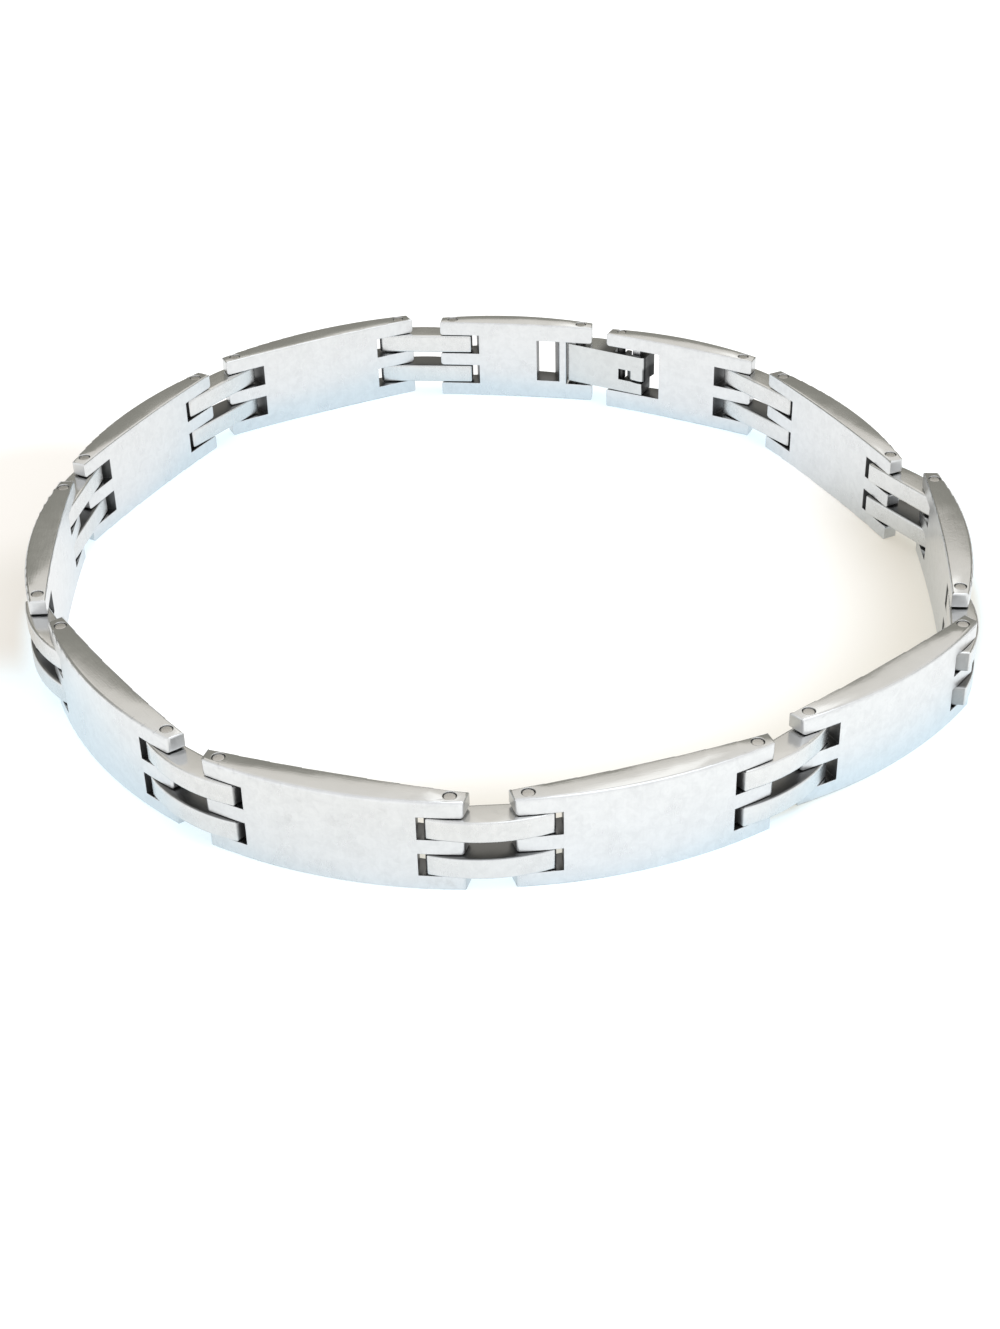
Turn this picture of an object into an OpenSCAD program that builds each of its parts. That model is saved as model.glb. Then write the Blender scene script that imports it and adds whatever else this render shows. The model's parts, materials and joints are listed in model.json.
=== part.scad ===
// Steel plate bracelet with a snap clasp, closed and standing on its long edge.
// Local frame of every member: x runs along the member from its start pin,
// y points out of the loop from the chord of the inner face, z is up.

/* [Plates] */
// Height of the band as it stands
band_w = 7; // [6.6:0.1:7.6]
// Length of an ordinary plate
plate_l = 17.3; // [16.8:0.1:18]
// Greatest rise of an ordinary plate's outer face over its inner chord
plate_t = 2.35; // [2.2:0.05:2.6]
// Rise of the outer face at the ends of every plate
end_t = 1.2; // [1.15:0.05:1.3]
// Hollow of an ordinary plate's inner face
inner_sag = 0.28; // [0.2:0.02:0.34]
// Rounding of the long outer edges and of the end edges
edge_r = 0.28; // [0.2:0.02:0.3]
// Rounding of the upright outer corners
corner_r = 0.36; // [0.3:0.02:0.6]
// Rounding of the long inner edges
inner_r = 0.14; // [0.1:0.02:0.18]

/* [Fingers] */
// Height of the upper and lower fingers
finger_h = 1.2; // [1.1:0.05:1.25]
// Height of each slot between the fingers
slot_h = 1.75; // [1.7:0.05:1.8]
// Rounding of the lower corners of the finger ends, seen from outside
finger_r = 0.26; // [0.2:0.02:0.4]
// Rounding of their upper corners
finger_top_r = 0.16; // [0.1:0.02:0.26]
// Depth of the slots from the plate's end, at the inner chord
slot_depth = 3.42; // [3.3:0.02:3.5]
// Depth of the slots 2.1 mm above the inner chord
slot_depth_out = 2.84; // [2.8:0.02:3.3]

/* [Bars] */
// Distance between the two pins of a bar
bar_pitch = 4.8; // [4.7:0.05:5]
// Length of a bar past each pin
bar_over = 1.66; // [1.5:0.02:1.7]
// Height of a bar
bar_h = 1.6; // [1.5:0.02:1.62]
// Thickness of a bar at its middle
bar_t = 2; // [1.8:0.05:2.1]
// Thickness of a bar at its ends
bar_end_t = 1.25; // [1.15:0.05:1.3]

/* [Pins] */
// Diameter of the cross pins
pin_d = 0.84; // [0.8:0.02:0.86]
// Diameter of the pin holes
hole_d = 0.9; // [0.88:0.01:0.92]
// Distance of a pin from the plate's end
pin_inset = 1.03; // [1:0.01:1.1]
// Distance of a pin from the inner chord
pin_v = 0.7; // [0.68:0.01:0.72]
// Distance of a pin's ends below the band's edges
pin_sink = 0.05; // [0.03:0.01:0.1]

/* [Clasp] */
// Length of the two clasp plates
clasp_l = 13.3; // [13:0.1:13.6]
// Greatest rise of a clasp plate's outer face
clasp_t = 2.1; // [2:0.05:2.2]
// Hollow of a clasp plate's inner face
clasp_sag = 0.2; // [0.14:0.02:0.24]
// Distance from the hinge pin to the latch pin
blade_pitch = 3.83; // [3.8:0.01:3.9]
// Height of the webs beside the notch on the hinge side
hinge_web_h = 1.5; // [1.4:0.05:1.55]
// Height of the lower web beside the notch on the latch side
latch_low_h = 1.65; // [1.5:0.05:1.65]
// Height of the upper web beside the notch on the latch side
latch_high_h = 1.15; // [1.1:0.05:1.3]
// Height of the sill under the hinge plate's window
hinge_sill_h = 1.7; // [1.5:0.05:1.8]
// Depth of the notch from the plate's end
notch_depth = 2.22; // [2.2:0.01:2.25]
// Width of the crossbar behind the notch
crossbar_w = 0.7; // [0.6:0.05:0.7]
// Length of the window behind the crossbar
window_l = 1.93; // [1.9:0.01:2]
// How much wider the hinge plate's crossbar is at its outer side
crossbar_flare = 0.5; // [0:0.05:0.6]
// Height of the clasp blade
blade_h = 3.5; // [3.4:0.05:3.6]
// Greatest thickness of the clasp blade
blade_t = 2.3; // [2.2:0.05:2.4]
// Reach of the blade from its hinge pin to the end of its lip
blade_reach = 6.32; // [6.25:0.01:6.4]
// Thickness of the blade's tongue
tongue_t = 0.34; // [0.3:0.02:0.36]
// Opening of the clasp blade into the wrist space, zero when closed
clasp_open = 0; // [0:1:100]

/* [Hidden] */
$fn = 96;
big_fn = 720;
eps = 0.01;

// Headings of the members round the loop, seen from above. Two of the plates
// close the loop, so their headings follow from the others.
// columns: plate heading, heading of the bar that follows it
PLATE = 0; BAR = 1;
LOOP = [
    [171.5, 175.5],
    [206.0, 232.0],
    [241.5, 259.0],
    [272.0, 298.5],
    [305.0, 319.0],
    [342.5,   2.0],
    [ 17.5,  41.0],
    [ 39.5,  81.0],
    [  0.0, 123.5],
    [115.5, 127.0],
    [  0.0,   0.0]
];
CLOSE_A = 8;
CLOSE_B = 10;

function dir(a) = [cos(a), sin(a)];
function plate_len(i) = i == 0 || i == 10 ? clasp_l : plate_l;
// Length of a member from pin to pin. The last plate counts up to the hinge pin,
// because the closed blade lies in line with it.
function span(i) = plate_len(i) - 2 * pin_inset + (i == 10 ? blade_pitch : 0);
function open_row(i) = i != CLOSE_A && i != CLOSE_B;
function fixed_sum(i = 0) = i > 10 ? [0, 0] :
    (open_row(i) ? span(i) * dir(LOOP[i][PLATE]) : [0, 0])
    + (i < 10 ? bar_pitch * dir(LOOP[i][BAR]) : [0, 0]) + fixed_sum(i + 1);
gap = -fixed_sum();
gap_l = norm(gap);
gap_a = atan2(gap[1], gap[0]);
la = span(CLOSE_A);
lb = span(CLOSE_B);
head_a = gap_a - acos((la * la + gap_l * gap_l - lb * lb) / (2 * la * gap_l));
head_b = gap_a + acos((lb * lb + gap_l * gap_l - la * la) / (2 * lb * gap_l));
function heading(i) = i == CLOSE_A ? head_a : i == CLOSE_B ? head_b : LOOP[i][PLATE];

// Start pin of plate i and of the bar after it, from the first hinge pin on
function plate_at(i) = i == 0 ? [0, 0] : bar_at(i - 1) + bar_pitch * dir(LOOP[i - 1][BAR]);
function bar_at(i) = plate_at(i) + span(i) * dir(heading(i));

// Arc through both ends (rise e) and the middle (rise m) of a chord of length l
function arc_r(l, m, e) = (l * l / 4 + (m - e) * (m - e)) / (2 * (m - e));

// Box round the loop, from points along the outer faces
STEPS = 24;
function rise(i) = i == 0 || i == 10 ? clasp_t : plate_t;
function outer_pt(i, k) =
    let (l = plate_len(i), m = rise(i), r = arc_r(l, m, end_t),
         x = (k / STEPS - 0.5) * l, y = m - r + sqrt(r * r - x * x) - pin_v,
         a = heading(i))
    plate_at(i) + (x + l / 2 - pin_inset) * dir(a) + y * dir(a - 90);
OUTER = [for (i = [0:10]) for (k = [0:STEPS]) outer_pt(i, k)];
function mid(c) = (min([for (p = OUTER) p[c]]) + max([for (p = OUTER) p[c]])) / 2;
centre = [mid(0), mid(1)];

module at_plate(i) {
    p = plate_at(i) - centre;
    translate([p[0], p[1], 0]) rotate([0, 0, heading(i)]) mirror([0, 1, 0])
        translate([0, -pin_v, 0]) children();
}
module at_bar(i) {
    p = bar_at(i) - centre;
    translate([p[0], p[1], 0]) rotate([0, 0, LOOP[i][BAR]]) mirror([0, 1, 0])
        translate([0, -pin_v, 0]) children();
}

// Rectangle from the origin with round corners
module round_rect(w, h, r) {
    translate([r, 0]) square([w - 2 * r, h]);
    translate([0, r]) square([w, h - 2 * r]);
    for (x = [r, w - r]) for (y = [r, h - r]) translate([x, y]) circle(r);
}

// What a round corner leaves of a sharp one: the corner lies between the line
// x = h and an arc of radius big about [0, cy]
module corner_cut(h, r, big, cy) {
    yc = cy + sqrt((big - r) * (big - r) - (h - r) * (h - r));
    d = [h - r, yc - cy] / norm([h - r, yc - cy]);
    difference() {
        polygon([[h - r, yc], [h + 1, yc], [h + 1, yc + 2], [h - r + 2 * d[0], yc + 2 * d[1]]]);
        translate([h - r, yc]) circle(r);
    }
}

// Outline of a plate in its long plane, with round-ended fingers or webs at
// both ends, each one [bottom, height, lower rounding, upper rounding]
function fingers() = [
    [0, finger_h, finger_r, finger_top_r],
    [finger_h + slot_h, band_w - 2 * (finger_h + slot_h), finger_r, finger_top_r],
    [band_w - finger_h, finger_h, finger_r, finger_top_r]
];
function webs(low, high) = [
    [0, low, finger_r, finger_top_r],
    [band_w - high, high, finger_r, finger_top_r]
];
module finger(l, f) {
    translate([0, f[0]]) {
        translate([0, f[2]]) square([l, f[1] - f[2] - f[3]]);
        translate([f[2], 0]) square([l - f[2], f[2]]);
        translate([f[3], f[1] - f[3]]) square([l - f[3], f[3]]);
        translate([f[2], f[2]]) circle(f[2]);
        translate([f[3], f[1] - f[3]]) circle(f[3]);
    }
}
module plate_outline(l, start, end) {
    translate([finger_r, 0]) square([l - 2 * finger_r, band_w]);
    for (f = start) finger(l / 2, f);
    translate([l, 0]) mirror([1, 0]) for (f = end) finger(l / 2, f);
}

// Solid between a hollow inner arc and a domed outer arc, with rounded edges;
// its outline is the child
module curved_body(l, m, e, sag, re, rc, ri) {
    h = l / 2;
    w = band_w;
    big = arc_r(l, m, e);
    hollow = arc_r(l, sag, 0);
    difference() {
        intersection() {
            translate([0, 8, 0]) rotate([90, 0, 0]) linear_extrude(12)
                translate([-h, 0]) children();
            translate([0, m - big, 0]) rotate_extrude($fn = big_fn)
                translate([big - 6, 0]) {
                    square([6 - re, w]);
                    translate([0, re]) square([6, w - 2 * re]);
                    for (z = [re, w - re]) translate([6 - re, z]) circle(re);
                }
            translate([0, sag - hollow, 0]) rotate_extrude($fn = big_fn)
                translate([hollow, 0]) {
                    translate([ri, 0]) square([6, w]);
                    translate([0, ri]) square([6, w - 2 * ri]);
                    for (z = [ri, w - ri]) translate([ri, z]) circle(ri);
                }
        }
        for (s = [0, 1]) mirror([s, 0, 0]) translate([0, 0, -1])
            linear_extrude(w + 2) corner_cut(h, rc, big, m - big);
    }
}

module pin_hole(x, v, d) {
    translate([x, v, -1]) cylinder(d = d, h = band_w + 2);
}

// Slots of one plate end, at x = 0 and cut towards +x
module finger_slots() {
    rake = (slot_depth - slot_depth_out) / 2.1;
    for (z = [finger_h, band_w - finger_h - slot_h])
        translate([0, 0, z]) linear_extrude(slot_h) polygon([
            [-1, -1], [slot_depth + rake, -1], [slot_depth - 5 * rake, 5], [-1, 5]
        ]);
}

module plate() {
    translate([plate_l / 2 - pin_inset, 0, 0]) difference() {
        curved_body(plate_l, plate_t, end_t, inner_sag, edge_r, corner_r, inner_r)
            plate_outline(plate_l, fingers(), fingers());
        for (s = [0, 1]) mirror([s, 0, 0]) {
            translate([-plate_l / 2, 0, 0]) finger_slots();
            pin_hole(-plate_l / 2 + pin_inset, pin_v, hole_d);
        }
    }
}

// Plan of what rounding takes from a square corner at the origin of a body
// that lies towards +x and +y
module round_off(r) {
    difference() {
        translate([-0.1, -1]) square([r + 0.1, r + 1]);
        translate([r, r]) circle(r);
    }
}

// Clasp plate with its slots at the start and its notch at the far end.
// The crossbar stands back from the inner chord by bar_back, or is flush with
// the inner face and rounded where that is zero. It widens outwards by flare.
latch_v = 0.86;
latch_d = 0.72;
latch_hole_d = 0.78;
module clasp_plate(v, d, low, high, sill, bar_back, flare) {
    h = clasp_l / 2;
    zh = band_w - low - high;
    near = h - notch_depth;
    far = near - crossbar_w;
    hollow = arc_r(clasp_l, clasp_sag, 0);
    face = clasp_sag - hollow + sqrt(hollow * hollow - near * near);
    difference() {
        curved_body(clasp_l, clasp_t, end_t, clasp_sag, edge_r, corner_r, inner_r)
            plate_outline(clasp_l, fingers(), webs(low, high));
        translate([-h, 0, 0]) finger_slots();
        pin_hole(-h + pin_inset, pin_v, hole_d);
        pin_hole(h - pin_inset, v, d);
        translate([near, -1, low]) cube([notch_depth + 1, 6, zh]);
        translate([far, 0, sill]) linear_extrude(band_w - high - sill) polygon([
            [-window_l, -1], [0, -1], [0, 0.3], [-flare, 1.9], [-flare, 5], [-window_l, 5]
        ]);
        if (bar_back > 0)
            translate([far - eps, -1, low]) cube([crossbar_w + 2 * eps, 1 + bar_back, zh]);
        else {
            translate([far, face, sill]) linear_extrude(band_w - high - sill) round_off(0.2);
            translate([near, face, low]) linear_extrude(zh) mirror([1, 0]) round_off(0.2);
        }
    }
}

// Plain bar, start pin at x = 0
module bar() {
    l = bar_pitch + 2 * bar_over;
    h = l / 2;
    big = arc_r(l, bar_t, bar_end_t);
    cy = bar_t - big;
    ri = 0.3;
    re = 0.2;
    translate([bar_pitch / 2, 0, 0]) difference() {
        intersection() {
            translate([0, 6, 0]) rotate([90, 0, 0]) linear_extrude(10)
                translate([-h, 0]) round_rect(l, bar_h, 0.3);
            translate([0, cy, 0]) rotate_extrude($fn = 360) {
                translate([big - 4, 0]) square([4 - re, bar_h]);
                translate([big - 4, re]) square([4, bar_h - 2 * re]);
                for (z = [re, bar_h - re]) translate([big - re, z]) circle(re);
            }
            translate([-h - 1, 0, 0]) rotate([90, 0, 90]) linear_extrude(l + 2) {
                translate([re, 0]) square([4, bar_h]);
                translate([0, re]) square([4, bar_h - 2 * re]);
                for (z = [re, bar_h - re]) translate([re, z]) circle(re);
            }
        }
        for (s = [0, 1]) mirror([s, 0, 0]) {
            translate([0, 0, -1]) linear_extrude(bar_h + 2) {
                corner_cut(h, 0.4, big, cy);
                translate([h, 0]) mirror([1, 0]) round_off(ri);
            }
            translate([bar_pitch / 2, pin_v, -1]) cylinder(d = hole_d, h = bar_h + 2);
        }
    }
}

// Cross pin with rounded ends
module pin(d) {
    r = 0.1;
    translate([0, 0, pin_sink]) rotate_extrude() {
        l = band_w - 2 * pin_sink;
        square([d / 2 - r, l]);
        translate([0, r]) square([d / 2, l - 2 * r]);
        for (z = [r, l - r]) translate([d / 2 - r, z]) circle(r);
    }
}

// Clasp blade in its own frame: hinge pin at x = 0, x towards the latch.
// The domed body ends short of the latch pin, the tongue passes inside of the
// pin and of the crossbar, a block holds the pin's far side, and the lip drops
// into the window behind the crossbar.
face_v = 0.06;
knuckle_r = 1.1;
dome_r = 4;
body_r = 3.33;
block_x = 4.3;
block_w = 0.45;
block_t = 1.05;
lip_x = notch_depth + crossbar_w + 2.8 + 0.1;
lip_depth = 1.85;
tab_z = 2.945;
module blade_body_plan() {
    difference() {
        intersection() {
            translate([1.9, blade_t - dome_r]) circle(dome_r, $fn = 360);
            translate([0, pin_v]) circle(body_r, $fn = 360);
            union() {
                translate([0, face_v]) square([6, 3]);
                intersection() {
                    translate([0, pin_v]) circle(knuckle_r);
                    translate([-2, face_v]) square([3, 3]);
                }
            }
        }
        translate([0, pin_v]) circle(d = hole_d);
    }
    translate([2.8, face_v]) square([lip_x - 2.8 + 0.05, tongue_t]);
    difference() {
        translate([block_x, face_v]) square([block_w, block_t]);
        translate([block_x, face_v + block_t]) mirror([0, 1]) round_off(0.12);
        translate([block_x + block_w, face_v + block_t]) mirror([1, 0]) mirror([0, 1])
            round_off(0.12);
    }
}
module lip_plan(reach, r_in) {
    difference() {
        translate([lip_x, face_v]) square([reach - lip_x, lip_depth - face_v]);
        translate([reach, face_v]) mirror([1, 0]) round_off(r_in);
        translate([lip_x, lip_depth]) mirror([0, 1]) round_off(0.15);
        if (reach - lip_x > 0.4)
            translate([reach, lip_depth]) mirror([1, 0]) mirror([0, 1]) round_off(0.2);
    }
}
module blade() {
    z0 = (band_w - blade_h) / 2;
    z1 = z0 + blade_h;
    difference() {
        union() {
            translate([0, 0, z0]) linear_extrude(blade_h) blade_body_plan();
            translate([0, 0, z0]) linear_extrude(tab_z - z0) lip_plan(blade_reach - 0.22, 0.08);
            translate([0, 0, tab_z]) linear_extrude(z1 - tab_z) lip_plan(blade_reach, 0.36);
            translate([blade_reach, lip_depth, tab_z + 0.06]) linear_extrude(z1 - tab_z - 0.06)
                polygon([[-0.2, -0.9], [-0.01, -0.9], [0.2, -0.06], [0.14, 0], [-0.2, 0]]);
        }
        // relief hole and the curved slot from it to the blade's end
        translate([3.9, 0, 2.84]) linear_extrude(1) polygon([
            [0, -1], [1.15, -1], [1.15, 0.1], [0.7, face_v + tongue_t], [0.7, 4], [0, 4]
        ]);
        translate([0, 4, 0]) rotate([90, 0, 0]) linear_extrude(5) intersection() {
            translate([5.8, 6.92]) difference() {
                circle(4.15, $fn = 360);
                circle(3.91, $fn = 360);
            }
            translate([4.3, 2]) square([3, 2]);
        }
    }
}

module link(i) color([0.86, 0.87, 0.88]) at_plate(i) plate();
module upper_bar(i) color([0.82, 0.83, 0.85]) at_bar(i)
    translate([0, 0, band_w - finger_h - slot_h + (slot_h - bar_h) / 2]) bar();
module lower_bar(i) color([0.82, 0.83, 0.85]) at_bar(i)
    translate([0, 0, finger_h + (slot_h - bar_h) / 2]) bar();
module start_pin(i) color([0.6, 0.6, 0.62]) at_bar(i) translate([0, pin_v, 0]) pin(pin_d);
module end_pin(i) color([0.6, 0.6, 0.62]) at_bar(i) translate([bar_pitch, pin_v, 0]) pin(pin_d);

module clasp_link_hinge() color([0.86, 0.87, 0.88]) at_plate(0)
    translate([clasp_l / 2 - pin_inset, 0, 0]) mirror([1, 0, 0])
    clasp_plate(pin_v, hole_d, hinge_web_h, hinge_web_h, hinge_sill_h, 0, crossbar_flare);
module clasp_link_latch() color([0.86, 0.87, 0.88]) at_plate(10)
    translate([clasp_l / 2 - pin_inset, 0, 0]) clasp_plate(latch_v, latch_hole_d, latch_low_h, latch_high_h, latch_low_h, 0.55, 0);
module clasp_blade() color([0.8, 0.82, 0.85]) at_plate(10)
    translate([span(10), pin_v, 0]) rotate([0, 0, clasp_open]) mirror([1, 0, 0])
    translate([0, -pin_v, 0]) blade();
module hinge_pin() color([0.6, 0.6, 0.62]) at_plate(0) translate([0, pin_v, 0]) pin(pin_d);
module latch_pin() color([0.6, 0.6, 0.62]) at_plate(10)
    translate([span(10) - blade_pitch, latch_v, 0]) pin(latch_d);

clasp_link_hinge();
clasp_link_latch();
clasp_blade();
hinge_pin();
latch_pin();
link(1);  // link_01
link(2);  // link_02
link(3);  // link_03
link(4);  // link_04
link(5);  // link_05
link(6);  // link_06
link(7);  // link_07
link(8);  // link_08
link(9);  // link_09
upper_bar(0);  // bar_01_upper
lower_bar(0);  // bar_01_lower
upper_bar(1);  // bar_02_upper
lower_bar(1);  // bar_02_lower
upper_bar(2);  // bar_03_upper
lower_bar(2);  // bar_03_lower
upper_bar(3);  // bar_04_upper
lower_bar(3);  // bar_04_lower
upper_bar(4);  // bar_05_upper
lower_bar(4);  // bar_05_lower
upper_bar(5);  // bar_06_upper
lower_bar(5);  // bar_06_lower
upper_bar(6);  // bar_07_upper
lower_bar(6);  // bar_07_lower
upper_bar(7);  // bar_08_upper
lower_bar(7);  // bar_08_lower
upper_bar(8);  // bar_09_upper
lower_bar(8);  // bar_09_lower
upper_bar(9);  // bar_10_upper
lower_bar(9);  // bar_10_lower
start_pin(0);  // pin_01_a
end_pin(0);  // pin_01_b
start_pin(1);  // pin_02_a
end_pin(1);  // pin_02_b
start_pin(2);  // pin_03_a
end_pin(2);  // pin_03_b
start_pin(3);  // pin_04_a
end_pin(3);  // pin_04_b
start_pin(4);  // pin_05_a
end_pin(4);  // pin_05_b
start_pin(5);  // pin_06_a
end_pin(5);  // pin_06_b
start_pin(6);  // pin_07_a
end_pin(6);  // pin_07_b
start_pin(7);  // pin_08_a
end_pin(7);  // pin_08_b
start_pin(8);  // pin_09_a
end_pin(8);  // pin_09_b
start_pin(9);  // pin_10_a
end_pin(9);  // pin_10_b
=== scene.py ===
import json
import math

import bpy
import numpy as np
from mathutils import Matrix, Vector

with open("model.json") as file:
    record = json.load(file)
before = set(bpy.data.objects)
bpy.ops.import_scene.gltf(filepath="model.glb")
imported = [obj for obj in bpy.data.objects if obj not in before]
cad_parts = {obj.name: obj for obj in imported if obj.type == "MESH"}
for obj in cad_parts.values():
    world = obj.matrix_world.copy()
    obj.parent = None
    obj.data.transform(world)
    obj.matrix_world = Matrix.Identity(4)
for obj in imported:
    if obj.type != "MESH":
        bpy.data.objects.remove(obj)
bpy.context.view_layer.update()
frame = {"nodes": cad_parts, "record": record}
nodes = frame["nodes"]

MM = 0.001

# ---------------------------------------------------------------- camera
CAM_POS = Vector((0.0, -136.77, 86.30)) * MM
CAM_DOWN = math.radians(34.204)
CAM_ROLL = math.radians(-1.460)
FOCAL_PX = 2124.9

fwd = Vector((0.0, math.cos(CAM_DOWN), -math.sin(CAM_DOWN)))
up0 = Vector((0.0, math.sin(CAM_DOWN), math.cos(CAM_DOWN)))
right0 = Vector((1.0, 0.0, 0.0))
c, s = math.cos(CAM_ROLL), math.sin(CAM_ROLL)
right = right0 * c + up0 * s
up = up0 * c - right0 * s
cam_data = bpy.data.cameras.new("camera")
cam_data.sensor_fit = "AUTO"
cam_data.sensor_width = 36.0
cam_data.lens = FOCAL_PX * 36.0 / 1329.0
cam_data.clip_start = 0.005
cam_data.clip_end = 20.0
cam = bpy.data.objects.new("camera", cam_data)
cam.matrix_world = Matrix((
    (right.x, up.x, -fwd.x, CAM_POS.x),
    (right.y, up.y, -fwd.y, CAM_POS.y),
    (right.z, up.z, -fwd.z, CAM_POS.z),
    (0, 0, 0, 1)))
bpy.context.scene.collection.objects.link(cam)
bpy.context.scene.camera = cam

# ---------------------------------------------------------------- local coordinates
# Heading of each member seen from above, in degrees
PLATE_HEADING = {
    "clasp_link_hinge": 171.5, "link_01": 206.0, "link_02": 241.5, "link_03": 272.0,
    "link_04": 305.0, "link_05": 342.5, "link_06": 17.5, "link_07": 39.5,
    "link_08": 86.35, "link_09": 115.5, "clasp_link_latch": 152.06,
}
BAR_HEADING = {
    "bar_01": 175.5, "bar_02": 232.0, "bar_03": 259.0, "bar_04": 298.5, "bar_05": 319.0,
    "bar_06": 2.0, "bar_07": 41.0, "bar_08": 81.0, "bar_09": 123.5, "bar_10": 127.0,
}


def heading_of(name):
    if name in PLATE_HEADING:
        return PLATE_HEADING[name]
    if name == "clasp_blade":
        return 152.06
    if name[:6] in BAR_HEADING:
        return BAR_HEADING[name[:6]]
    return 0.0


# Rise of the outer face at the middle and at the ends, hollow of the inner face, in millimetres
ARCS = {"plate": (2.35, 1.20, 0.28), "clasp": (2.10, 1.20, 0.20), "bar": (2.00, 1.25, 0.0)}
# How far the narrow edges of some plates lean towards the wrist, in degrees
EDGE_LEAN = {"clasp_link_hinge": 3.6, "clasp_link_latch": 3.0, "link_04": 1.2,
             "link_06": -1.2, "link_07": -1.0}
# Crown of the narrow edges at the ends of a piece and across it, in degrees
CROWN = {"plate": (10.0, 4.6), "clasp": (10.0, 7.0), "bar": (0.0, 2.0)}


def add_local(name, o):
    """Point attributes: 'local' (millimetres along the member from its middle, out of the loop, up),
    'axis' (unit vector of the member), 'form' (inner hollow, outer rise at the ends, further rise to the
    middle), 'crown' (tangents of the crown along, the crown across and the lean), 'half' (half length),
    'deep' (distance in from the outermost point) and 'marked' (1 on the plate with the smudges)."""
    me = o.data
    n = len(me.vertices)
    co = np.empty(n * 3)
    me.vertices.foreach_get("co", co)
    co = co.reshape(-1, 3) / MM
    a = math.radians(heading_of(name))
    t = np.array((math.cos(a), math.sin(a), 0.0))
    out = np.array((math.sin(a), -math.cos(a), 0.0))
    u, v, z = co @ t, co @ out, co[:, 2]
    half = (u.max() - u.min()) / 2
    u = u - (u.max() + u.min()) / 2
    v = v - v.min()
    kind = ("clasp" if name.startswith("clasp_link") else "plate" if name.startswith("link")
            else "bar" if name.startswith("bar") else None)
    form, crown = (0.0, 1.0, 0.0), (0.0, 0.0, 0.0)
    if kind:
        mid, end, sag = ARCS[kind]
        form = (sag, end, mid - end)
        crown = [math.tan(math.radians(k)) for k in (*CROWN[kind], EDGE_LEAN.get(name, 0.0))]

    def put(key, kind_, field, data):
        me.attributes.new(key, kind_, "POINT").data.foreach_set(field, np.asarray(data, np.float32).ravel())

    put("local", "FLOAT_VECTOR", "vector", np.column_stack((u, v, z)))
    put("axis", "FLOAT_VECTOR", "vector", np.tile(t, (n, 1)))
    put("form", "FLOAT_VECTOR", "vector", np.tile(form, (n, 1)))
    put("crown", "FLOAT_VECTOR", "vector", np.tile(crown, (n, 1)))
    put("half", "FLOAT", "value", np.full(n, half))
    put("deep", "FLOAT", "value", v.max() - v)
    put("marked", "FLOAT", "value", np.full(n, 1.0 if name == "link_05" else 0.0))


def smooth_shading(o):
    """Shade across the joins of neighbouring faces, keep the real corners sharp, and let the flat faces
    stay flat, so that the rounded edges read as one clean band."""
    me = o.data
    old = me.attributes.get("custom_normal")
    if old is not None:
        me.attributes.remove(old)
    me.shade_smooth()
    nv, ne, nl, npoly = len(me.vertices), len(me.edges), len(me.loops), len(me.polygons)
    co = np.empty(nv * 3)
    me.vertices.foreach_get("co", co)
    _, vid = np.unique(np.round(co.reshape(-1, 3) * 1e7).astype(np.int64), axis=0, return_inverse=True)
    vid = vid.ravel()
    ev = np.empty(ne * 2, np.int32)
    me.edges.foreach_get("vertices", ev)
    pair = np.sort(vid[ev.reshape(-1, 2)], axis=1)
    _, ekey = np.unique(pair, axis=0, return_inverse=True)
    ekey = ekey.ravel()
    le = np.empty(nl, np.int32)
    me.loops.foreach_get("edge_index", le)
    start, total = np.empty(npoly, np.int32), np.empty(npoly, np.int32)
    me.polygons.foreach_get("loop_start", start)
    me.polygons.foreach_get("loop_total", total)
    nrm = np.empty(npoly * 3)
    me.polygons.foreach_get("normal", nrm)
    nrm = nrm.reshape(-1, 3)
    poly = np.empty(nl, np.int32)
    for i in range(npoly):
        poly[start[i]:start[i] + total[i]] = i
    nk = ekey.max() + 1
    first, lo = np.full(nk, -1), np.ones(nk)
    for k, p in zip(ekey[le], poly):
        if first[k] < 0:
            first[k] = p
        else:
            lo[k] = min(lo[k], float(nrm[first[k]] @ nrm[p]))
    sharp = lo < math.cos(math.radians(38))
    at = me.attributes.get("sharp_edge") or me.attributes.new("sharp_edge", "BOOLEAN", "EDGE")
    at.data.foreach_set("value", sharp[ekey])
    weld = o.modifiers.new("weld", "WELD")
    weld.merge_threshold = 1e-6
    wn = o.modifiers.new("normals", "WEIGHTED_NORMAL")
    wn.keep_sharp = True
    wn.weight = 50


for name, o in nodes.items():
    add_local(name, o)
    smooth_shading(o)


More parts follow.
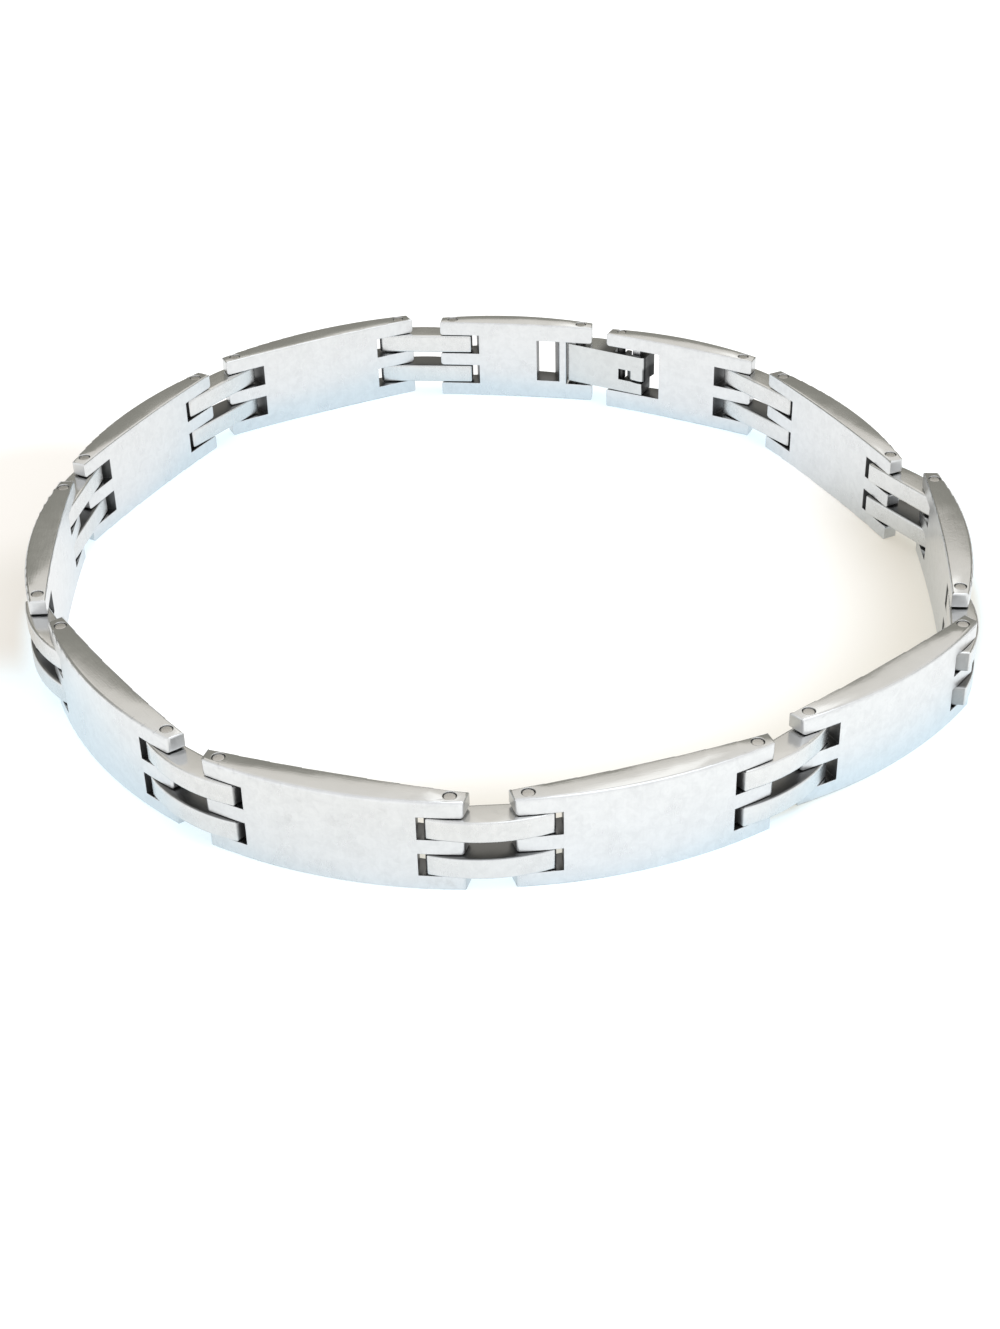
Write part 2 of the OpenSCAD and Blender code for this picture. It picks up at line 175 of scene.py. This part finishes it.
# ---------------------------------------------------------------- node helpers
class Graph:
    def __init__(self, tree):
        self.t = tree

    def node(self, kind, **props):
        n = self.t.nodes.new(kind)
        for k, v in props.items():
            setattr(n, k, v)
        return n

    def put(self, sock, value):
        if isinstance(value, bpy.types.NodeSocket):
            self.t.links.new(value, sock)
        elif value is not None:
            sock.default_value = value

    def math(self, op, a, b=None, c=None, clamp=False):
        n = self.node("ShaderNodeMath", operation=op, use_clamp=clamp)
        for i, v in enumerate((a, b, c)):
            self.put(n.inputs[i], v)
        return n.outputs[0]

    def vec(self, op, a, b=None, scale=None):
        n = self.node("ShaderNodeVectorMath", operation=op)
        self.put(n.inputs[0], a)
        self.put(n.inputs[1], b)
        if scale is not None:
            self.put(n.inputs["Scale"], scale)
        return n.outputs["Value"] if op in ("DOT_PRODUCT", "LENGTH") else n.outputs["Vector"]

    def split(self, v):
        n = self.node("ShaderNodeSeparateXYZ")
        self.put(n.inputs[0], v)
        return n.outputs

    def join(self, x, y, z):
        n = self.node("ShaderNodeCombineXYZ")
        for i, v in enumerate((x, y, z)):
            self.put(n.inputs[i], v)
        return n.outputs[0]

    def step(self, v, lo, hi, a=0.0, b=1.0):
        n = self.node("ShaderNodeMapRange", interpolation_type="SMOOTHSTEP")
        self.put(n.inputs["Value"], v)
        self.put(n.inputs["From Min"], lo)
        self.put(n.inputs["From Max"], hi)
        self.put(n.inputs["To Min"], a)
        self.put(n.inputs["To Max"], b)
        return n.outputs["Result"]

    def noise(self, vec, scale, detail=2.0, rough=0.5, distort=0.0):
        n = self.node("ShaderNodeTexNoise")
        self.put(n.inputs["Vector"], vec)
        self.put(n.inputs["Scale"], scale)
        self.put(n.inputs["Detail"], detail)
        self.put(n.inputs["Roughness"], rough)
        self.put(n.inputs["Distortion"], distort)
        return n.outputs["Fac"]

    def ramp(self, fac, stops, interp="LINEAR"):
        n = self.node("ShaderNodeValToRGB")
        r = n.color_ramp
        r.interpolation = interp
        r.elements[0].position, r.elements[0].color = stops[0][0], (*stops[0][1], 1)
        r.elements[1].position, r.elements[1].color = stops[-1][0], (*stops[-1][1], 1)
        for pos, col in stops[1:-1]:
            r.elements.new(pos).color = (*col, 1)
        self.put(n.inputs["Fac"], fac)
        return n.outputs["Color"]

    def mix(self, fac, a, b, blend="MIX"):
        n = self.node("ShaderNodeMix", data_type="RGBA", blend_type=blend)
        self.put(n.inputs[0], fac)
        self.put(n.inputs[6], a)
        self.put(n.inputs[7], b)
        return n.outputs[2]


# ---------------------------------------------------------------- steel
# Soft smudges on the marked plate: along, up, width, height (mm), strength
SMUDGES = [
    (0.5, 4.7, 0.50, 0.45, 0.75), (-2.5, 4.4, 0.35, 0.40, 0.60), (3.8, 6.1, 0.45, 0.28, 0.55),
    (-4.0, 5.4, 0.45, 0.35, 0.45), (-1.6, 6.0, 0.40, 0.30, 0.40), (6.8, 0.7, 0.40, 0.28, 0.80),
    (7.7, 0.6, 0.38, 0.30, 0.80), (2.2, 2.8, 0.90, 0.60, 0.25), (-5.2, 3.1, 0.80, 0.50, 0.25),
]


def steel(name, kind, color, face_rough, edge_rough, round_mm, strokes=1.0, marks=1.0):
    """Satin steel: the broad faces carry short upright strokes, faint blotches and a few scuffs,
    the narrow edges are smoother with fine lines along the piece; the recesses get painted shade and the broad faces a
    painted cool reflection towards the bottom."""
    m = bpy.data.materials.new(name)
    m.use_nodes = True
    g = Graph(m.node_tree)
    b = m.node_tree.nodes["Principled BSDF"]
    b.inputs["Metallic"].default_value = 1.0
    loc = g.node("ShaderNodeAttribute", attribute_name="local").outputs["Vector"]
    axis = g.node("ShaderNodeAttribute", attribute_name="axis").outputs["Vector"]
    form = g.split(g.node("ShaderNodeAttribute", attribute_name="form").outputs["Vector"])
    crown = g.split(g.node("ShaderNodeAttribute", attribute_name="crown").outputs["Vector"])
    half = g.node("ShaderNodeAttribute", attribute_name="half").outputs["Fac"]
    x, y, z = g.split(loc)
    out = g.vec("CROSS_PRODUCT", axis, (0.0, 0.0, 1.0))

    def unit(v):
        return g.math("MINIMUM", g.math("MAXIMUM", v, 0.0), 1.0)

    # how far along (-1 to 1) and how far across (-1 inner face, 1 outer face) the place is
    rel_u = g.math("MINIMUM", g.math("MAXIMUM", g.math("DIVIDE", x, half), -1.0), 1.0)
    bow = g.math("SUBTRACT", 1.0, g.math("MULTIPLY", rel_u, rel_u))
    inner = g.math("MULTIPLY", form[0], bow)
    outer = g.math("ADD", form[1], g.math("MULTIPLY", form[2], bow))
    rel_v = g.math("SUBTRACT", g.math("DIVIDE", g.math("MULTIPLY", g.math("SUBTRACT", y, inner), 2.0),
                                      g.math("SUBTRACT", outer, inner)), 1.0)
    rel_v = g.math("MINIMUM", g.math("MAXIMUM", rel_v, -1.0), 1.0)

    geo = g.node("ShaderNodeNewGeometry")
    bevel = g.node("ShaderNodeBevel", samples=6)
    bevel.inputs["Radius"].default_value = round_mm * MM
    tn, round_n = geo.outputs["Normal"], bevel.outputs["Normal"]
    if kind == "plate":
        # the rounded long edges are true arcs: 0.28 mm outside, 0.14 mm inside
        outside = g.math("GREATER_THAN", rel_v, 0.0)
        radius = g.math("MULTIPLY_ADD", outside, 0.14, 0.14)
        turn = g.math("SUBTRACT",
                      unit(g.math("DIVIDE", g.math("ADD", g.math("SUBTRACT", y, outer), 0.28), 0.28)),
                      unit(g.math("DIVIDE", g.math("ADD", g.math("SUBTRACT", inner, y), 0.14), 0.14)))
        off_mid = g.math("SUBTRACT", z, 3.5)
        lift = g.math("SUBTRACT", 3.5, g.math("ABSOLUTE", off_mid))
        rise = g.math("MULTIPLY", unit(g.math("SUBTRACT", 1.0, g.math("DIVIDE", lift, radius))), g.math("SIGN", off_mid))
        bulge = g.math("ADD", g.math("MULTIPLY", outside, form[2]),
                       g.math("MULTIPLY", g.math("SUBTRACT", 1.0, outside), form[0]))
        slope = g.math("DIVIDE", g.math("MULTIPLY", g.math("MULTIPLY", bulge, rel_u), 2.0), half)
        flank = g.vec("NORMALIZE", g.vec("ADD", out, g.vec("SCALE", axis, scale=slope)))
        arc_n = g.vec("NORMALIZE", g.vec("ADD", g.vec("SCALE", flank, scale=turn), g.join(0.0, 0.0, rise)))
        zone = g.math("MULTIPLY", g.step(lift, 0.295, 0.28), g.step(g.math("SUBTRACT", half, g.math("ABSOLUTE", x)), 0.20, 0.42))
        zone = g.math("MULTIPLY", zone, g.math("MAXIMUM", g.step(g.math("SUBTRACT", outer, y), 0.30, 0.285),
                                               g.step(g.math("SUBTRACT", y, inner), 0.16, 0.145)))

        def fit(v):
            keep = g.vec("SCALE", v, scale=g.math("SUBTRACT", 1.0, zone))
            return g.vec("NORMALIZE", g.vec("ADD", keep, g.vec("SCALE", arc_n, scale=zone)))

        tn, round_n = fit(tn), fit(round_n)
    nz_signed = g.split(tn)[2]
    nz = g.math("ABSOLUTE", nz_signed)
    nt_signed = g.vec("DOT_PRODUCT", tn, axis)
    nt = g.math("ABSOLUTE", nt_signed)
    no_signed = g.vec("DOT_PRODUCT", tn, out)
    no = g.math("ABSOLUTE", no_signed)
    top = g.step(nz, 0.80, 0.97)
    side = g.math("SUBTRACT", 1.0, top)

    # short upright strokes on the broad faces, lines along the piece on the narrow edges
    up_lines = g.noise(g.join(g.math("MULTIPLY", x, 6.0), g.math("MULTIPLY", y, 6.0), g.math("MULTIPLY", z, 0.6)), 1.0, 4.0, 0.6, 0.3)
    fine = g.noise(g.join(g.math("MULTIPLY", x, 15.0), g.math("MULTIPLY", y, 15.0), g.math("MULTIPLY", z, 1.5)), 1.0, 2.0, 0.6)
    long_lines = g.noise(g.join(g.math("MULTIPLY", x, 0.7), g.math("MULTIPLY", y, 9.0), g.math("MULTIPLY", z, 9.0)), 1.0, 3.0, 0.6)
    # each piece gets its own part of the pattern, from its direction and its length
    own = g.vec("ADD", loc, g.vec("MULTIPLY", g.vec("ADD", axis, (2.3, 1.7, 0.9)), (31.0, 47.0, 13.0)))
    blotch = g.noise(own, 0.42, 3.0, 0.55, 0.6)
    small = g.noise(own, 1.7, 4.0, 0.6, 0.8)
    # scuffs: small soft marks, sparse
    scuff = g.math("MULTIPLY", g.step(small, 0.60, 0.72), g.step(blotch, 0.46, 0.62))

    stroke = g.math("ADD", g.math("MULTIPLY", up_lines, 0.7), g.math("MULTIPLY", fine, 0.3))
    lines = g.math("ADD", g.math("MULTIPLY", stroke, side), g.math("MULTIPLY", long_lines, top))

    # colour: blotches, strokes, scuffs, and a painted cool reflection of the shaded floor on the lower half of the side
    # faces
    tint = g.ramp(blotch, [(0.32, tuple(0.965 * k for k in color)), (0.66, tuple(1.02 * k for k in color))])
    streaked = g.mix(1.0, tint, g.ramp(lines, [(0.3, (0.965, 0.967, 0.97)), (0.7, (1.0, 1.0, 1.0))]), "MULTIPLY")
    mottle = g.ramp(small, [(0.36, (0.962, 0.963, 0.964)), (0.64, (1.040, 1.040, 1.038))])
    streaked = g.mix(side, streaked, g.mix(1.0, streaked, mottle, "MULTIPLY"))
    # painted reflection: the side faces turn cooler towards the bottom, as if mirroring the shaded floor near the band
    painted_low_reflection = g.ramp(g.math("DIVIDE", z, 7.0), [
        (0.0, (0.930, 0.970, 1.0)), (0.35, (0.960, 0.985, 1.0)), (0.75, (0.985, 0.995, 0.995)), (1.0, (0.990, 0.995, 0.990))])
    with_low_reflection = g.mix(side, streaked, g.mix(1.0, streaked, painted_low_reflection, "MULTIPLY"))
    mark = g.math("MULTIPLY", scuff, 0.12 * marks)
    if kind == "plate":
        grime = g.noise(own, 3.4, 3.0, 0.6, 1.2)
        for (u0, z0, a, h, k) in SMUDGES:
            du = g.math("DIVIDE", g.math("SUBTRACT", x, u0), a)
            dh = g.math("DIVIDE", g.math("SUBTRACT", z, z0), h)
            dist = g.math("SQRT", g.math("ADD", g.math("MULTIPLY", du, du), g.math("MULTIPLY", dh, dh)))
            dist = g.math("ADD", dist, g.math("MULTIPLY", g.math("SUBTRACT", grime, 0.5), 3.2))
            mark = g.math("ADD", mark, g.math("MULTIPLY", g.math("MULTIPLY", g.step(dist, 1.35, -0.1), 0.24 * k),
                                              g.node("ShaderNodeAttribute", attribute_name="marked").outputs["Fac"]))
        mark = g.math("MULTIPLY", mark, side)
    mark = g.math("MINIMUM", mark, 0.6)
    scuffed = g.mix(mark, with_low_reflection, (0.30, 0.295, 0.29, 1))

    # painted shade in the recesses, worked out from the place on the piece and multiplied into the base colour
    def band(v, lo, hi, soft):
        return g.math("MULTIPLY", g.step(v, lo - soft, lo + soft), g.step(v, hi + soft, hi - soft))

    flat = g.step(nz, 0.6, 0.85)
    wall = g.step(nt, 0.7, 0.9)
    shade = None
    if kind == "plate":
        # painted shade on the slot floors and ceilings, stronger further in, on the slot end walls and a little on the
        # finger ends
        depth = g.math("SUBTRACT", half, g.math("ABSOLUTE", x))
        inside = g.math("MULTIPLY", flat, band(z, 0.8, 6.3, 0.15))
        deep = g.math("MULTIPLY", inside, g.step(depth, 2.2, 2.8))
        ends = g.math("MULTIPLY", wall, g.step(depth, 1.6, 2.2))
        tip = g.math("MULTIPLY", wall, g.step(depth, 0.9, 0.4))
        shade = g.math("SUBTRACT", 1.0, g.math("MULTIPLY", g.math("MAXIMUM", deep, ends), 0.74))
        shade = g.math("MULTIPLY", shade, g.math("SUBTRACT", 1.0, g.math("MULTIPLY", inside, 0.15)))
        shade = g.math("MULTIPLY", shade, g.math("SUBTRACT", 1.0, g.math("MULTIPLY", tip, 0.08)))
    elif kind == "bar":
        # painted shade on the top of the lower bar under the upper bar, on the undersides and on the end walls
        up = g.step(nz_signed, 0.6, 0.85)
        low = g.math("MULTIPLY", up, g.step(z, 3.6, 3.2))
        under = g.step(nz_signed, -0.6, -0.85)
        shade = g.math("SUBTRACT", 1.0, g.math("MULTIPLY", low, 0.70))
        shade = g.math("MULTIPLY", shade, g.math("SUBTRACT", 1.0, g.math("MULTIPLY", under, 0.5)))
        shade = g.math("MULTIPLY", shade, g.math("SUBTRACT", 1.0, g.math("MULTIPLY", wall, 0.5)))
    elif kind == "blade":
        # painted shade on the lip's end, on the sides and the outer face beyond the hinge, in the cut, at the heel, and
        # a little on the upper top face
        reach = g.math("SUBTRACT", 2.71, x)  # from the hinge pin
        lip = g.math("MULTIPLY", g.step(reach, 5.78, 5.95), g.step(y, 0.20, 0.55))
        up = g.math("MULTIPLY", g.step(nz_signed, 0.6, 0.85), g.step(z, 4.6, 5.0))
        deep = g.node("ShaderNodeAttribute", attribute_name="deep").outputs["Fac"]
        behind = g.math("MULTIPLY", g.step(no_signed, 0.2, 0.5), g.step(deep, 0.5, 0.8))
        over = g.math("MULTIPLY", g.math("MAXIMUM", g.step(no, 0.8, 0.5), behind), g.step(reach, 1.3, 2.6))
        cut = g.math("MULTIPLY", g.math("MAXIMUM", flat, g.step(nt, 0.35, 0.6)),
                     g.math("MULTIPLY", band(z, 2.3, 4.2, 0.2), g.step(reach, 3.6, 3.8)))
        heel = g.math("MULTIPLY", g.step(reach, -0.45, -0.8), g.step(y, 0.02, 0.2))
        shade = g.math("SUBTRACT", 1.0, g.math("MULTIPLY", g.math("MAXIMUM", lip, g.math("MAXIMUM", over, heel)), 0.78))
        shade = g.math("MULTIPLY", shade, g.math("SUBTRACT", 1.0, g.math("MULTIPLY", up, 0.10)))
        shade = g.math("MULTIPLY", shade, g.math("SUBTRACT", 1.0, g.math("MULTIPLY", cut, 0.65)))
    else:
        # painted shade on the pin below its top, where it sits in the hole
        shade = g.step(z, 6.55, 6.80, 0.16, 1.0)
    # the painted shade as a grey colour that multiplies the base colour
    dark = g.node("ShaderNodeCombineColor")
    for i in range(3):
        g.put(dark.inputs[i], shade)
    g.put(b.inputs["Base Color"], g.mix(1.0, scuffed, dark.outputs[0], "MULTIPLY"))

    # gloss
    rough = g.math("ADD", g.math("MULTIPLY", side, face_rough), g.math("MULTIPLY", top, edge_rough))
    rough = g.math("ADD", rough, g.math("MULTIPLY", g.math("SUBTRACT", lines, 0.5), 0.12))
    rough = g.math("ADD", rough, g.math("MULTIPLY", g.math("SUBTRACT", blotch, 0.5), 0.14))
    rough = g.math("ADD", rough, g.math("MULTIPLY", mark, 0.25))
    rough = g.math("ADD", rough, g.math("MULTIPLY", g.math("SUBTRACT", 1.0, shade), 0.25))
    g.put(b.inputs["Roughness"], g.math("MAXIMUM", rough, 0.08))

    # relief: rounded-over edges, the crown of the narrow edges, then the strokes
    along = g.vec("SCALE", axis, scale=g.math("MULTIPLY", crown[0], g.math("POWER", g.math("ABSOLUTE", rel_u), 3.0)))
    along = g.vec("SCALE", along, scale=g.math("SIGN", rel_u))
    across = g.vec("SCALE", out, scale=g.math("SUBTRACT", g.math("MULTIPLY", rel_v, crown[1]), crown[2]))
    lean = g.vec("ADD", along, across)
    nrm = g.vec("NORMALIZE", g.vec("ADD", round_n,
                                   g.vec("SCALE", lean, scale=g.step(nz_signed, 0.4, 0.95))))
    bump = g.node("ShaderNodeBump")
    bump.inputs["Strength"].default_value = 1.0
    bump.inputs["Distance"].default_value = 0.0028 * MM * strokes
    g.put(bump.inputs["Height"], g.math("ADD", lines, g.math("MULTIPLY", small, 0.8)))
    g.put(bump.inputs["Normal"], nrm)
    g.put(b.inputs["Normal"], bump.outputs["Normal"])
    return m


mats = {
    "plate_steel": steel("plate_steel", "plate", (0.662, 0.668, 0.676), 0.30, 0.12, 0.07),
    "bar_steel": steel("bar_steel", "bar", (0.650, 0.650, 0.648), 0.28, 0.20, 0.07, strokes=0.45),
    "clasp_steel": steel("clasp_steel", "blade", (0.600, 0.608, 0.606), 0.30, 0.20, 0.06),
    "pin_steel": steel("pin_steel", "pin", (0.56, 0.55, 0.54), 0.24, 0.24, 0.05),
}
slots = {e["node"]: e["material_slot"] for e in frame["record"]["subparts"]}
for name, o in nodes.items():
    o.data.materials.clear()
    o.data.materials.append(mats[slots[name]])


# ---------------------------------------------------------------- stage
def plane(name, size, z, mat):
    me = bpy.data.meshes.new(name)
    h = size / 2
    me.from_pydata([(-h, -h, z), (h, -h, z), (h, h, z), (-h, h, z)], [], [(0, 1, 2, 3)])
    o = bpy.data.objects.new(name, me)
    bpy.context.scene.collection.objects.link(o)
    me.materials.append(mat)
    return o


# Bright floor of a light tent: it glows a little, so that shadows stay faint; its glow carries a painted cool contact
# shadow round the band, painted warm shadows inside on the right, at the front and outside on the left, a painted pool
# of light at the front right and a little painted shade at the front left
fm = bpy.data.materials.new("floor")
fm.use_nodes = True
fb = fm.node_tree.nodes["Principled BSDF"]
fb.inputs["Base Color"].default_value = (0.45, 0.45, 0.448, 1)
fb.inputs["Roughness"].default_value = 0.8
fb.inputs["Specular IOR Level"].default_value = 0.1
f = Graph(fm.node_tree)
place = f.vec("SCALE", f.node("ShaderNodeNewGeometry").outputs["Position"], scale=1000.0)


def spot(cx, cy, inner, outer):
    d_ = f.vec("LENGTH", f.vec("SUBTRACT", place, (cx, cy, 0.0)))
    return f.step(d_, outer, inner)


far = f.vec("LENGTH", f.vec("MULTIPLY", place, (1 / 37.0, 1 / 33.0, 1.0)))
# painted cool contact shadow: the glow turns cyan-grey in a ring round the band
ring = f.math("MULTIPLY", f.step(far, 0.84, 0.93), f.step(far, 1.12, 1.01))
glow_and_painted_shade = f.mix(ring, (1.0, 1.0, 1.0, 1), (0.76, 0.91, 0.99, 1))
px, py, _ = f.split(place)
# painted warm shadow on the floor inside the band on the right and at the front
near = f.math("MULTIPLY", f.step(far, 0.47, 0.86), f.step(f.math("SUBTRACT", px, py), -1.0, 26.0))
near = f.math("MULTIPLY", near, f.step(far, 1.0, 0.96))
glow_and_painted_shade = f.mix(f.math("MULTIPLY", near, 0.85), glow_and_painted_shade, (0.44, 0.39, 0.29, 1))
# painted warm shadows on the floor outside the band on the left
outside = f.step(far, 0.92, 0.99)
glow_and_painted_shade = f.mix(f.math("MULTIPLY", outside, spot(-38.0, 15.0, 8.0, 18.0)), glow_and_painted_shade, (0.62, 0.58, 0.53, 1))
glow_and_painted_shade = f.mix(f.math("MULTIPLY", outside, spot(-37.0, -1.0, 4.0, 13.0)), glow_and_painted_shade, (0.52, 0.48, 0.42, 1))
# painted pool of light on the floor at the front right
glow_and_painted_shade = f.mix(spot(42.0, -52.0, 12.0, 62.0), glow_and_painted_shade, f.mix(1.0, glow_and_painted_shade, (1.12, 1.14, 1.14, 1), "MULTIPLY"))
# painted shade on the floor at the front left
glow_and_painted_shade = f.mix(spot(-18.0, -44.0, 8.0, 26.0), glow_and_painted_shade, f.mix(1.0, glow_and_painted_shade, (0.95, 0.945, 0.925, 1), "MULTIPLY"))
f.put(fb.inputs["Emission Color"], glow_and_painted_shade)
fb.inputs["Emission Strength"].default_value = 0.84
plane("floor", 4.0, -0.00002, fm)

# Studio light all round: a dim warm back wall below a bright soft ceiling, a bright front,
# and a large soft light high on the right
world = bpy.data.worlds.new("world")
bpy.context.scene.world = world
world.use_nodes = True
w = Graph(world.node_tree)
bg = world.node_tree.nodes["Background"]
d = w.node("ShaderNodeTexCoord").outputs["Generated"]
dx, dy, dz = w.split(d)
wall = w.math("ADD", dz, w.math("MULTIPLY", dx, 0.124))
back = w.ramp(wall, [
    (0.00, (0.125, 0.122, 0.108)), (0.25, (0.145, 0.141, 0.124)), (0.42, (0.158, 0.155, 0.136)),
    (0.520, (0.172, 0.168, 0.147)), (0.545, (0.415, 0.398, 0.366)), (0.75, (0.440, 0.428, 0.400)),
    (1.00, (0.460, 0.455, 0.445))])
front = w.ramp(dz, [
    (0.00, (0.57, 0.57, 0.57)), (0.25, (0.60, 0.60, 0.60)), (0.6, (0.50, 0.50, 0.505)),
    (1.00, (0.455, 0.455, 0.455))])
face = w.step(dy, 0.35, -0.30)
room = w.mix(face, back, front)
lamp_dir = Vector((0.32, -0.24, 0.92)).normalized()
lobe = w.step(w.vec("DOT_PRODUCT", d, tuple(lamp_dir)), 0.925, 0.975)
lamp = w.mix(lobe, (0, 0, 0, 1), (0.42, 0.45, 0.47, 1))
side_way = w.math("DIVIDE", dx, w.math("MAXIMUM", dy, 0.2))
panel = w.math("MULTIPLY", w.step(side_way, 0.02, 0.11), w.step(side_way, 0.28, 0.19))
panel = w.math("MULTIPLY", panel, w.step(dz, 0.62, 0.69))
lamp = w.mix(1.0, lamp, w.mix(panel, (0, 0, 0, 1), (0.22, 0.225, 0.225, 1)), "ADD")
w.put(bg.inputs["Color"], w.mix(1.0, room, lamp, "ADD"))
bg.inputs["Strength"].default_value = 2.3
bpy.context.scene.view_settings.view_transform = "Standard"
